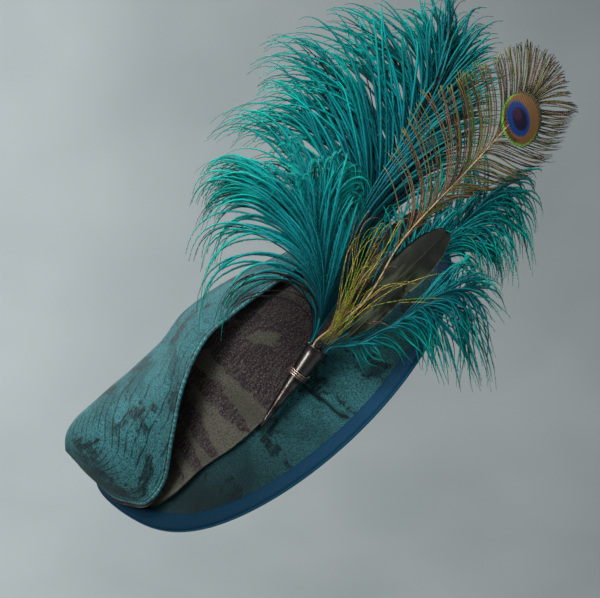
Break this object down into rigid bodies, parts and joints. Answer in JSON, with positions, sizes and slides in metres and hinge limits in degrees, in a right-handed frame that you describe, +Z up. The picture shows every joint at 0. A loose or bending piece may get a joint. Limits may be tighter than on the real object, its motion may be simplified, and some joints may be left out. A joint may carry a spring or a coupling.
{
  "type": "wide tilted dress hat with feather mount",
  "caption": "Wide tilted dress hat: saucer base in brocade, a folded leaf-shaped wrap with a corded lip, and a spray of feathers set in a metal cone.",
  "frame": {"origin": "where the inside of the base rests on the crown of the wearer's head", "axes": "+Z up as the hat is worn, +X towards the wearer's left and the feathers, -Y towards the front of the hat, where the viewer stands"},
  "size_m": [0.392, 0.2622, 0.4159],
  "materials": {
    "brocade": "teal brocade, crinkled, with darker woven leaves",
    "lining": "dark brown brocade on an olive grey ground, satin",
    "binding": "ribbed ribbon, dark blue",
    "piping": "stitched cloth cord, light teal",
    "cone_metal": "gunmetal, brushed",
    "collar_wire": "wound wire, warm grey",
    "ostrich": "dyed feather, soft",
    "peacock": "natural feather, bronze and green sheen",
    "herl": "beaded feather strand, gold green",
    "coque": "satin feather, dark olive"
  },
  "bodies": {
    "root": {"saucer_base": "brocade", "edge_binding": "binding", "wrap_shell": "brocade", "wrap_lining": "lining", "lip_piping": "piping", "feather_cone": "cone_metal", "cone_collar": "collar_wire", "plume_crest": "ostrich", "plume_left": "ostrich", "plume_right_high": "ostrich", "plume_right_low": "ostrich", "peacock_feather": "peacock", "herl_bunch": "herl", "coque_dark": "coque", "coque_olive": "coque", "coque_near": "coque"}
  },
  "joints": []
}
